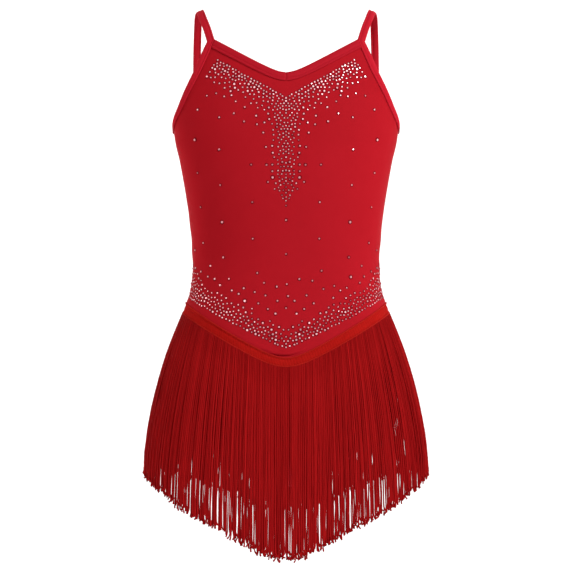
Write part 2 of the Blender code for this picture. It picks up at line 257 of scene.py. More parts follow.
# a closed cloth wall between two grids of points
def shell(name, outer, inner, material):
    rows, columns = outer.shape[:2]
    count = rows * columns
    skin = gridFaces(rows, columns)
    faces = list(skin) + list(skin[:, ::-1] + count)
    rim = list(range(columns))
    rim += [r * columns + columns - 1 for r in range(1, rows)]
    rim += [(rows - 1) * columns + c for c in range(columns - 2, -1, -1)]
    rim += [r * columns for r in range(rows - 2, 0, -1)]
    for a, b in zip(rim, rim[1:] + rim[:1]):
        faces.append((b, a, a + count, b + count))
    return newMesh(name, np.concatenate([outer.reshape(-1, 3), inner.reshape(-1, 3)]), faces, material)


# a closed skin through rings of points, an array of ring, corner, 3
def tube(name, rings, material, closed=False):
    count, corners = rings.shape[:2]
    faces = gridFaces(count, corners + 1, closed)
    faces = (faces // (corners + 1)) * corners + (faces % (corners + 1)) % corners
    faces = [tuple(f) for f in faces]
    if not closed:
        faces.append(tuple(range(corners))[::-1])
        faces.append(tuple(range((count - 1) * corners, count * corners)))
    return newMesh(name, rings.reshape(-1, 3), faces, material)


# a soft hump of height 1 and about the given half width
def bump(distance, width):
    return np.exp(-((distance / width) ** 2))


def rise(value, low, high):
    t = np.clip((value - low) / (high - low), 0, 1)
    return t * t * (3 - 2 * t)


# a colour code, such as c02030, as linear red, green, blue and alpha
def linear(code):
    parts = [int(code[i : i + 2], 16) / 255 for i in (0, 2, 4)]
    parts = [p / 12.92 if p <= 0.04045 else ((p + 0.055) / 1.055) ** 2.4 for p in parts]
    return (*parts, 1.0)


# a node with its settings, input values and links from other nodes' sockets
def addNode(tree, kind, settings=None, **inputs):
    node = tree.nodes.new(kind)
    for key, value in (settings or {}).items():
        setattr(node, key, value)
    for key, value in inputs.items():
        socket = node.inputs[int(key[1:])] if key[0] == "i" and key[1:].isdigit() else node.inputs[key]
        if isinstance(value, bpy.types.NodeSocket):
            tree.links.new(value, socket)
        else:
            socket.default_value = value
    return node


def emptyMaterial(name):
    material = bpy.data.materials.new(name)
    material.use_nodes = True
    material.node_tree.nodes.clear()
    return material, material.node_tree


def finishMaterial(material, shader):
    tree = material.node_tree
    addNode(tree, "ShaderNodeOutputMaterial", Surface=shader.outputs[0])
    return material


# a mix of two colour codes
def mixed(tree, share, none, full):
    settings = {"data_type": "RGBA"}
    node = addNode(tree, "ShaderNodeMix", settings, Factor=share, i6=linear(none), i7=linear(full))
    return node.outputs[2]


# the shader of dyed yarn: fine relief and hardly any shine of its own
def yarnShader(tree, look, shade, height, roughness):
    relief = addNode(tree, "ShaderNodeBump", Strength=look["relief"], Distance=0.0002, Height=height)
    inputs = {
        "Base Color": shade,
        "Roughness": roughness,
        "Normal": relief.outputs[0],
        "IOR": look["bend"],
        "Specular IOR Level": look["specular"],
    }
    return addNode(tree, "ShaderNodeBsdfPrincipled", **inputs)


# knitted cloth: two close shades in soft patches, and a fine knit in its relief and gloss
def clothMaterial(name, look):
    material, tree = emptyMaterial(name)
    place = addNode(tree, "ShaderNodeTexCoord").outputs["Object"]
    patches = addNode(tree, "ShaderNodeTexNoise", Vector=place, Scale=look["patchScale"], Detail=3.0)
    shade = mixed(tree, patches.outputs["Fac"], look["dark"], look["light"])
    knit = addNode(tree, "ShaderNodeTexNoise", Vector=place, Scale=look["knitScale"], Detail=2.0)
    knit = knit.outputs["Fac"]
    rough = look["roughness"]
    gloss = addNode(tree, "ShaderNodeMapRange", Value=knit, i1=0.3, i2=0.7, i3=rough - 0.06, i4=rough + 0.06)
    return finishMaterial(material, yarnShader(tree, look, shade, knit, gloss.outputs[0]))


spandexLook = {
    "dark": "ae1721",
    "light": "b61b26",
    "patchScale": 18.0,  # patches about 55 mm wide
    "knitScale": 2200.0,  # loops about 0.45 mm wide
    "relief": 0.25,
    "roughness": 0.55,
    "bend": 1.3,
    "specular": 0.01,
}
# painted light: the strap cloth is the spandex made lighter, the neck binding's a little less
bindingLook = dict(spandexLook, dark="be1c2b", light="c82031", relief=0.06, roughness=0.6, specular=0.03)
neckLook = dict(bindingLook, dark="b21a28", light="ba1d2b")
tapeLook = dict(spandexLook, dark="a61411", light="b41b16", patchScale=60.0, roughness=0.6, relief=0.5)
threadLook = dict(spandexLook, dark="a80a18", light="b50e20")

# warp-knitted stretch cloth of front and back: an even, deep red with a soft gloss
spandex = clothMaterial("shiny red spandex", spandexLook)
# the same knit as folded strips and straps, a copy painted a shade lighter for the light that falls on the
# straps
bindingCloth = clothMaterial("red binding", bindingLook)
neckCloth = clothMaterial("red neck binding", neckLook)  # painted a shade darker than the straps' lit copy
tapeCloth = clothMaterial("fringe tape", tapeLook)  # crocheted heading: duller, towards orange
thread = clothMaterial("sewing thread", threadLook)
# painted shadow: a dark ring round each stone stands in for the shade at its edge and sets each stone off
# from the cloth
stoneShadowRim = clothMaterial("painted shadow ring", dict(spandexLook, dark="6a0610", light="7c0813"))


# spun rayon cord: each strand's own tone with painted shade added, and the slanting plies as relief
def strandMaterial(name, look):
    material, tree = emptyMaterial(name)
    place = addNode(tree, "ShaderNodeTexCoord").outputs["Object"]
    own = addNode(tree, "ShaderNodeAttribute", {"attribute_name": "strandToneAndPaintedShade"}).outputs["Fac"]
    shade = mixed(tree, own, look["dark"], look["light"])
    bands = {"wave_type": "BANDS", "bands_direction": "DIAGONAL"}
    plies = addNode(tree, "ShaderNodeTexWave", bands, Vector=place, Scale=look["plyScale"], Distortion=1.5)
    return finishMaterial(material, yarnShader(tree, look, shade, plies.outputs["Fac"], look["roughness"]))


strandLook = {
    "dark": "8a0d0f",
    "light": "bb1a1c",
    "plyScale": 260.0,  # a ply every 2.4 mm
    "relief": 0.4,
    "roughness": 0.65,
    "bend": 1.35,
    "specular": 0.02,
}
strandCord = strandMaterial("fringe cord", strandLook)  # matt, in many close shades of dark red
edgeLook = dict(strandLook, dark="a01412", light="b8221c", roughness=0.55)
tapeCord = strandMaterial("twisted edge cord", edgeLook)  # smoother and lighter than the strands


# clear cut crystal on a foil, with a painted highlight: each stone runs from a dull to a lit colour and glows
# by a value set stone by stone, standing in for the light it catches
def crystalMaterial(name, dull, lit, glow):
    material, tree = emptyMaterial(name)
    caught = addNode(tree, "ShaderNodeAttribute", {"attribute_name": "paintedSparkle"}).outputs["Fac"]
    shade = mixed(tree, caught, dull, lit)
    shining = addNode(tree, "ShaderNodeMath", {"operation": "MULTIPLY"}, i0=caught, i1=glow)
    inputs = {
        "Base Color": shade,
        "Metallic": 0.2,
        "Roughness": 0.3,
        "Coat Weight": 0.35,
        "Coat Roughness": 0.05,
        "Emission Color": shade,
        "Emission Strength": shining.outputs[0],
    }
    return finishMaterial(material, addNode(tree, "ShaderNodeBsdfPrincipled", **inputs))


crystalTable = crystalMaterial("crystal, flat table", "c05c68", "ffe2e5", 0.3)  # the bright middle, a painted highlight
crystalFacets = crystalMaterial("crystal, side facets", "92303c", "ff8c98", 0.15)  # painted reflection: the pink of the red cloth in the sides, dull to lit

print("stage: front and back")

panelShape = {
    "armholeColumns": 44,
    "footColumns": 6,
    "neckColumns": 40,
    "yokeRows": 34,
    "bodiceRows": 84,
    "tapeRows": 4,
    "seatRows": 22,
    "underRows": 44,
    "baseLevel": {front: 170.0, back: 200.0},
    "legHem": 8.0,
}
tape = {
    "sideLevel": 314.0,
    "rounding": 10.0,
    "slope": {front: 0.62, back: 0.337},
    "width": 10.0,
    "thickness": 0.9,
}
tapeHalf = halfWidth(tape["sideLevel"])


# how far the tape's upper line lies below its level at the side seam
def tapeDip(facing, angle):
    slope, rounding = tape["slope"][facing], tape["rounding"]
    x = tapeHalf * np.abs(across(angle))
    return np.hypot(rounding, slope * tapeHalf) - np.hypot(rounding, slope * x)


def tapeHeight(facing, angle):
    slope = tape["slope"][facing]
    x = slope * tapeHalf * np.abs(across(angle))
    return tape["width"] * np.hypot(1, slope * x / np.hypot(tape["rounding"], x))


# a face's places, row by row from the neckline down, from one side seam to the other
def panelPlaces(facing):
    shape = panelShape
    hole = armhole(facing, shape["armholeColumns"] + shape["footColumns"])
    edge = np.concatenate([hole, necklineRow(facing, shape["neckColumns"])])
    count = len(edge)
    share = np.linspace(1, 0, count) ** 1.2
    angle = 90 * share
    side, base = tape["sideLevel"], shape["baseLevel"][facing]
    dip = tapeDip(facing, angle)
    top = side + dip
    bottom = top + tapeHeight(facing, angle)
    rows = []
    for t in np.linspace(0, 1, shape["yokeRows"], endpoint=False):
        rows.append(edge + (np.column_stack([angle, np.full(count, base)]) - edge) * t)
    for t in 1 - np.linspace(1, 0, shape["bodiceRows"], endpoint=False) ** 1.7:
        rows.append(np.column_stack([angle, base + (side - base) * t + t * dip]))
    for t in np.linspace(0, 1, shape["tapeRows"], endpoint=False):
        rows.append(np.column_stack([angle, top + (bottom - top) * t]))
    for t in np.linspace(0, 1, shape["seatRows"] + 1):
        rows.append(np.column_stack([angle, bottom + (body["hipLevel"] - bottom) * t]))
    for j in range(1, shape["underRows"] + 1):
        level = np.full(count, body["hipLevel"] + body["underRun"] * j / shape["underRows"])
        leg = smoothRow([(l, a) for a, l in legEdge[facing]], level)[..., 0]
        rows.append(np.column_stack([leg * share, level]))
    half = np.array(rows)
    other = half[:, -2::-1].copy()
    other[..., 0] *= -1
    return np.concatenate([half, other], axis=1)


creases = {
    "tipFold": 2.0,  # the soft fold over the point of the tape
    "tapeRise": 0.7,  # how far the cloth swells where it runs down to the tape
    "gather": 0.35,  # ribs where the crotch is gathered
    "seamDip": 0.5,
    "legPucker": 0.3,
    "drape": 0.35,  # drag lines at the waist and under the armhole
    "waistLevel": 262.0,
    "chestLevel": 128.0,
    "crotchLevel": 520.0,
}


# how far the cloth stands out from its plain form, in millimetres
def relief(facing, places, points):
    angle, level = places[..., 0], places[..., 1]
    x, z = points[..., 0], points[..., 2]
    side = 90 - np.abs(angle)
    out = -creases["seamDip"] * bump(side, 1.6) * (level < body["hipLevel"])
    waist = bump(level - creases["waistLevel"], 34) * rise(np.abs(angle), 35, 70)
    out = out + creases["drape"] * waist * np.sin(z / 5.2 + 1.4 * np.sin(angle / 17.0))
    chest = bump(level - creases["chestLevel"], 26) * rise(np.abs(angle), 45, 75)
    out = out + creases["drape"] * 0.8 * chest * np.sin((z * 0.8 + np.abs(x) * 0.6) / 4.6)
    overTape = level - (tape["sideLevel"] + tapeDip(facing, angle))
    out = out + creases["tapeRise"] * bump(overTape + 1.0, 6.0)
    if facing == front:
        # a bowed crease, the ridge above it and a shorter crease to one side
        tip = tape["sideLevel"] + tapeDip(front, np.zeros(1))[0]
        bow = level - (tip - 1.6 - 0.012 * (x + 2) ** 2)
        out = out - creases["tipFold"] * bump(bow, 0.75) * bump(x + 1, 14)
        out = out + creases["tipFold"] * bump(bow + 2.9, 1.7) * bump(x + 2, 15)
        upper = level - (tip - 6.2 + 0.05 * (x + 14))
        out = out - creases["tipFold"] * 0.7 * bump(upper, 0.75) * bump(x + 6, 12)
    ribs = np.sin(level * 2 * math.pi / 3.2) * bump(x, 7) * bump(level - creases["crotchLevel"], 22)
    return out + creases["gather"] * ribs


def panel(facing):
    places = panelPlaces(facing)
    points = surfaceAt(facing, places)
    outward = outwardAt(facing, places)
    lift = relief(facing, places, points)
    # distance to the leg edges, and puckers that run out from them
    away = np.full(points.shape[:2], 1e9)
    pucker = np.zeros(points.shape[:2])
    leg = evenly(facing, legEdge[facing], 160)
    for edge in (leg, leg * [-1, 1]):
        rim = surfaceAt(facing, edge)
        near = np.full(points.shape[:2], 1e9)
        at = np.zeros(points.shape[:2])
        for spot, run in zip(rim, runAlong(rim)):
            d = np.linalg.norm(points - spot, axis=-1)
            at = np.where(d < near, run, at)
            near = np.minimum(near, d)
        pucker = np.where(near < away, np.sin(at / 1.15), pucker)
        away = np.minimum(away, near)
    hem = panelShape["legHem"]
    fold = 1 - rise(away, hem - 1.0, hem + 0.6)
    fold = fold - 0.6 * bump(away - (hem - 1.6), 0.7)
    pucker = creases["legPucker"] * pucker * (1 - rise(away, 2, hem + 3))
    wall = body["clothWall"] / 2
    outer = points + outward * (wall + lift + 0.55 * fold + pucker)[..., None]
    inner = points - outward * (wall - lift + 0.45 * fold - pucker)[..., None]
    thing = shell(faceName[facing] + "Panel", outer, inner, spandex)
    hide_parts(faceName[facing] + "_panel")
    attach(thing, "root")
    return thing


frontPanel = panel(front)
backPanel = panel(back)

print("stage: bindings and straps")

strip = {
    "wall": 1.0,
    "foldGap": 0.5,
    "loopWidth": 7.0,
    "strapSlit": 0.15,
    "roll": 0.45,  # how far the straps tip outwards
    "seamShare": 0.17,  # where the stitches run, from the inner edge to the fold
}
# x, y, z of the left strap's middle, from the front corner to the back corner
overShoulder = np.array(
    [
        (83.4, -37.5, -22.0), (87.8, -26.0, -10.8), (91.0, -11.0, -2.4), (93.0, 3.0, 0.3),
        (94.8, 17.0, -3.8), (96.0, 32.0, -18.5), (97.0, 42.0, -42.0), (97.2, 46.5, -72.0),
    ]
)
# share of the way from the strip's inner edge to its fold, thickness as a share of the wall
stripProfile = [
    (0.0, 0.3), (0.05, 1.0), (0.16, 1.12), (0.25, 0.9), (0.32, 0.4),
    (0.39, 0.9), (0.55, 1.22), (0.72, 1.25), (0.88, 1.12), (1.0, 0.9),
]


# rings of a strip folded over an edge, each an outer leaf, a rounded fold and an inner leaf
def stripRings(edge, edgeOut, inner, innerOut, slit, thinning=1.0):
    away = unit(edge - inner)
    slit = np.broadcast_to(np.asarray(slit, float), (len(edge),))[:, None]
    wall = strip["wall"] * np.broadcast_to(np.asarray(thinning, float), (len(edge),))[:, None]
    leaves = []
    for side in (1, -1):
        leaf = []
        for share, thick in stripProfile:
            base = inner + (edge - inner) * share
            out = unit(innerOut * (1 - share) + edgeOut * share)
            leaf.append(base + side * out * (slit + wall * thick))
        leaves.append(leaf)
    far = slit + wall * stripProfile[-1][1]
    fold = strip["foldGap"] + wall
    turn = []
    for angle in np.linspace(0, math.pi, 9)[1:-1]:
        turn.append(edge + edgeOut * far * math.cos(angle) + away * fold * math.sin(angle))
    near = [
        inner - innerOut * slit,
        edge - edgeOut * slit + away * strip["foldGap"] * 0.5,
        edge + away * strip["foldGap"],
        edge + edgeOut * slit + away * strip["foldGap"] * 0.5,
        inner + innerOut * slit,
    ]
    return np.stack(leaves[0] + turn + leaves[1][::-1] + near, axis=1)


def ringsOnCloth(facing, edge, inner, thinning=1.0):
    thinning = np.asarray(thinning, float)
    slit = body["clothWall"] / 2 + strip["foldGap"] * thinning
    sides = [at(facing, row) for row in (edge, inner) for at in (surfaceAt, outwardAt)]
    return stripRings(*sides, slit, thinning)


# rows of the strap's strip along the armhole and up to the strap: edge places and inner places
def footOf(facing):
    edge = armhole(facing, 66)
    points = surfaceAt(facing, edge)
    reach = np.linalg.norm(points - points[-1], axis=1)
    below = np.where(reach > strip["loopWidth"] + neck["bindingWidth"] * 0.6)[0].max()
    inner = setIn(facing, edge, strip["loopWidth"])
    inner[0, 0] = 90.0
    corner = neckline(facing, np.array([neck["halfWidth"][facing]]))[0]
    for k in range(below + 1, len(edge)):
        t = (k - below) / (len(edge) - 1 - below)
        inner[k] = inner[below] + (corner - inner[below]) * t
    return edge, inner, inner[below], corner


def neckBinding(facing):
    _, _, below, corner = footOf(facing)
    edge = necklineRow(facing, 46)
    inner = setIn(facing, edge, neck["bindingWidth"])
    inner[-1, 0] = 0.0
    points = surfaceAt(facing, edge)
    along = unit(points[1] - points[0])
    down = surfaceAt(facing, below) - points[0]
    share = neck["bindingWidth"] / np.linalg.norm(np.cross(along, down))
    turn = corner + (below - corner) * share
    # the first rows fan from the cut end to square
    for k in range(6):
        inner[k] = turn + (inner[6] - turn) * (k / 6)
    edge[0] = edge[0] - (edge[1] - edge[0]) * 0.1
    inner[0] = inner[0] - (inner[1] - inner[0]) * 0.1
    # the two halves of the front strip meet in a mitre seam
    thinning = np.ones(len(edge) + 1)
    thinning[-1] = 0.3 if facing == front else 1.0
    edge, inner = [np.insert(row, -1, row[-1] + (row[-2] - row[-1]) * 0.25, axis=0) for row in (edge, inner)]
    half = ringsOnCloth(facing, edge, inner, thinning)
    rings = np.concatenate([half, half[:-1][::-1] * [-1, 1, 1]])
    thing = tube(faceName[facing] + "NeckBinding", rings, neckCloth)
    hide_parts("neck_binding_" + faceName[facing])
    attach(thing, "root")
    return thing, edge, inner


# rings of the left strap above the cloth, from front to back, with its middle, width and outside
def strapRings():
    foot = {}
    for facing in (front, back):
        edge, inner, _, _ = footOf(facing)
        foot[facing] = (surfaceAt(facing, edge[-1]), surfaceAt(facing, inner[-1]))
    inwards = unit(np.array([-1.0, 0.0, strip["roll"]]))
    spots = [(foot[front][0] + foot[front][1]) / 2, *overShoulder, (foot[back][0] + foot[back][1]) / 2]
    widths = [unit(foot[front][1] - foot[front][0])] + [inwards] * len(overShoulder)
    widths.append(unit(foot[back][1] - foot[back][0]))
    run = runAlong(np.array(spots))
    path = np.column_stack([run, spots, widths])
    at = np.linspace(0, run[-1], 121)[1:-1]
    value = smoothRow(path, at)
    here, width = value[:, :3], value[:, 3:]
    along = unit(smoothRow(path, at + 1)[:, :3] - smoothRow(path, at - 1)[:, :3])
    width = unit(width - along * (along * width).sum(1, keepdims=True))
    out = unit(np.cross(along, width))
    half = width * strip["loopWidth"] / 2
    ends = np.minimum(at, run[-1] - at)
    onCloth = body["clothWall"] / 2 + strip["foldGap"]
    slit = strip["strapSlit"] + (onCloth - strip["strapSlit"]) * (1 - rise(ends, 0, 7))
    return stripRings(here - half, out, here + half, out, slit), here, width, out


def strapLoops():
    rings, seams = {}, {}
    for facing in (front, back):
        edge, inner, _, _ = footOf(facing)
        run = np.linspace(0, 1, len(edge))
        rings[facing] = ringsOnCloth(facing, edge, inner, 0.5 + 0.5 * rise(run, 0.0, 0.3))
        seams[facing] = (edge, inner)
    above, here, width, out = strapRings()
    around = np.concatenate([rings[back][1:][::-1], rings[front], above])
    loops = []
    for side, name in ((1, "left"), (-1, "right")):
        thing = tube(name + "StrapLoop", around * [side, 1, 1], bindingCloth, closed=True)
        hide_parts("strap_loop_" + name)
        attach(thing, "root")
        loops.append(thing)
    return loops, seams, (here, width, out)


neckFront, neckFrontEdge, neckFrontInner = neckBinding(front)
neckBack, neckBackEdge, neckBackInner = neckBinding(back)
loops, loopSeams, strapLine = strapLoops()

print("stage: fringe")

heading = {
    "ribPitch": 3.0,
    "ribPoints": 6,
    "ribDepth": 0.16,
    "ribSlant": 7.0,  # turn of the ribs from the upper to the lower edge, in radians
    "stitchedDepth": 0.45,  # of the groove where the trim is sewn on
    "plyRadius": 0.5,
    "plySwing": 0.42,
    "plyTurn": 2.6,  # length of a full turn of the edge cords
    "plyStep": 0.55,  # between points along a ply
    "cordLift": 0.75,
    "cordDrop": 0.6,  # from the tape's edge in to the middle of its cord
}
fringe = {
    "strands": 540,
    "layers": 3,
    "layerDepth": 0.4,
    "straightPoints": 15,
    "hookPoints": 7,
    "hookLength": 8.0,
    "hookTurn": 0.7,  # typical turn of a strand's end, in radians
    "sides": 5,
    "radius": 0.66,
    "frayed": 1.4,  # how much wider the cut ends are
    "sideFlare": 40.5,
    "faceFlare": {front: 14.0, back: 36.0},
    "flareSpread": 2.2,
    "flarePower": 1.7,
    "clumpSize": (8, 24),
    "clumpPull": 0.065,
    "clumpUneven": 1.4,
    "together": (3, 5),  # strands that lie close side by side
    "closePull": 0.2,
    "wave": 0.7,
    "uneven": 3.0,
}
# share of the way from the centre to the side, length of the strands there
hemLength = {
    front: [(0.0, 196.0), (0.25, 196.3), (0.5, 191.2), (0.75, 188.5), (0.85, 182.4), (1.0, 171.0)],
    back: [
        (0.0, 198.0), (0.25, 195.0), (0.5, 187.0), (0.67, 180.5), (0.8, 174.5),
        (0.9, 170.5), (1.0, 170.0),
    ],
}
# share of the way from the centre to the side, how far clumps draw together
clumping = [(0.0, 0.3), (0.14, 0.35), (0.25, 0.9), (0.42, 0.8), (0.52, 0.3), (0.85, 0.1), (1.0, 0.2)]


# a column of a table, straight between its rows
def tableValue(rows, at, column=1):
    rows = np.array(rows, float)
    return np.interp(at, rows[:, 0], rows[:, column])


# the tape's upper and lower row of places, from one side seam to the other
def tapeRows(facing):
    angle = np.linspace(90, -90, 361)
    top = tape["sideLevel"] + tapeDip(facing, angle)
    bottom = top + tapeHeight(facing, angle)
    return np.column_stack([angle, top]), np.column_stack([angle, bottom])


# points, outward directions and angles at shares of a row's length, and that length
def rowAt(facing, row, shares):
    points = surfaceAt(facing, row)
    run = runAlong(points)
    at = np.asarray(shares) * run[-1]
    outward = unit(cutAt(at, run, outwardAt(facing, row)))
    return cutAt(at, run, points), outward, np.interp(at, run, row[:, 0]), run[-1]


# the heading: ribs of cord ends side by side between two twisted cords
def fringeTape(facing, top, bottom):
    h = heading
    length = rowAt(facing, bottom, [0.0])[-1]
    shares = np.linspace(0.0012, 0.9988, int(length / h["ribPitch"]) * h["ribPoints"] + 1)
    upper, upperOut, _, _ = rowAt(facing, top, shares)
    lower, lowerOut, _, _ = rowAt(facing, bottom, shares)
    turn = np.arange(len(shares)) * 2 * math.pi / h["ribPoints"]
    base = body["clothWall"] / 2 + body["tapeGap"]
    outer, inner = [], []
    for t in np.linspace(0.04, 0.96, 16):
        spot = upper + (lower - upper) * t
        out = unit(upperOut * (1 - t) + lowerOut * t)
        swell = tape["thickness"] * (0.5 + 0.32 * math.sin(math.pi * t) ** 0.5)
        rib = h["ribDepth"] * np.cos(turn + h["ribSlant"] * t)
        stitched = h["stitchedDepth"] * bump(t - 0.3, 0.07)
        outer.append(spot + out * (base + swell - stitched + rib)[:, None])
        inner.append(spot + out * base)
    return shell(faceName[facing] + "FringeTape", np.array(outer), np.array(inner), tapeCloth)


# a value for each point of a mesh, which its nodes and material read
def storeValues(mesh, name, values, kind="FLOAT"):
    layer = mesh.attributes.new(name, kind, "POINT")
    layer.data.foreach_set("value" if kind == "FLOAT" else "vector", values.ravel().astype("f"))


# a node tree with named inputs: the tree, its inputs' sockets and their keys on a modifier
def geometryTree(name, **kinds):
    tree = bpy.data.node_groups.new(name, "GeometryNodeTree")
    tree.interface.new_socket("Geometry", in_out="INPUT", socket_type="NodeSocketGeometry")
    keys = {}
    for title, kind in kinds.items():
        socket = tree.interface.new_socket(title, in_out="INPUT", socket_type="NodeSocket" + kind)
        keys[title] = socket.identifier
    tree.interface.new_socket("Geometry", in_out="OUTPUT", socket_type="NodeSocketGeometry")
    return tree, tree.nodes.new("NodeGroupInput").outputs, keys


def storedValue(tree, name, kind="FLOAT"):
    return addNode(tree, "GeometryNodeInputNamedAttribute", {"data_type": kind}, Name=name).outputs[0]


# ends a tree in real meshes with their material and runs it; the thing is then a plain mesh
def runTree(tree, geometry, thing, material, values):
    whole = addNode(tree, "GeometryNodeRealizeInstances", Geometry=geometry)
    coloured = addNode(tree, "GeometryNodeSetMaterial", Geometry=whole.outputs[0], Material=material)
    addNode(tree, "NodeGroupOutput", Geometry=coloured.outputs[0])
    building = thing.modifiers.new("building", "NODES")
    building.node_group = tree
    for key, value in values.items():
        building[key] = value
    ready = bpy.context.evaluated_depsgraph_get()
    mesh = bpy.data.meshes.new_from_object(thing.evaluated_get(ready))
    thing.modifiers.clear()
    thing.data = mesh
    mesh.materials.clear()
    mesh.materials.append(material)
    mesh.polygons.foreach_set("material_index", np.zeros(len(mesh.polygons), int))
    mesh.shade_smooth()
    mesh.update()
    return thing


# cords along paths, by Geometry Nodes: an array of cord, point, 3 in millimetres
def cordMesh(name, paths, radii, shades, sides, material):
    count, points = paths.shape[:2]
    index = np.arange(count * points).reshape(count, points)
    edges = np.stack([index[:, :-1].ravel(), index[:, 1:].ravel()], 1)
    mesh = rawMesh(name + "Paths", (paths.reshape(-1, 3) * mm).tolist(), edges.tolist(), [])
    storeValues(mesh, "cordRadius", np.broadcast_to(radii, (count, points)) * mm)
    storeValues(mesh, "strandToneAndPaintedShade", np.broadcast_to(shades, (count, points)))
    thing = addObject(name, mesh)

    tree, given, keys = geometryTree(name + "Cords", Sides="Int")
    wide = storedValue(tree, "cordRadius")
    curve = addNode(tree, "GeometryNodeMeshToCurve", Mesh=given["Geometry"])
    sized = addNode(tree, "GeometryNodeSetCurveRadius", Curve=curve.outputs[0], Radius=wide)
    ring = addNode(tree, "GeometryNodeCurvePrimitiveCircle", Resolution=given["Sides"], Radius=1.0)
    inputs = {"Curve": sized.outputs[0], "Profile Curve": ring.outputs[0], "Fill Caps": True}
    skin = addNode(tree, "GeometryNodeCurveToMesh", **inputs)
    if "Scale" in skin.inputs:
        tree.links.new(wide, skin.inputs["Scale"])
    return runTree(tree, skin.outputs[0], thing, material, {keys["Sides"]: sides})


# two plies wound round each other along one edge of the tape
def twistedCord(facing, row, drop, name):
    length = rowAt(facing, row, [0.0])[-1]
    count = int(length / heading["plyStep"])
    points, outward, _, _ = rowAt(facing, row, np.linspace(0.0015, 0.9985, count))
    down = np.array([0.0, 0.0, -1.0])
    down = unit(down - outward * (outward @ down)[:, None])
    middle = points + down * drop + outward * (body["clothWall"] / 2 + body["tapeGap"] + heading["cordLift"])
    turn = np.linspace(0, length / heading["plyTurn"] * 2 * math.pi, count)
    plies = []
    for phase in (0.0, math.pi):
        swing = outward * np.cos(turn + phase)[:, None] + down * np.sin(turn + phase)[:, None]
        plies.append(middle + swing * heading["plySwing"])
    return cordMesh(name, np.array(plies), heading["plyRadius"], np.array([[0.75], [1.0]]), 6, tapeCord)


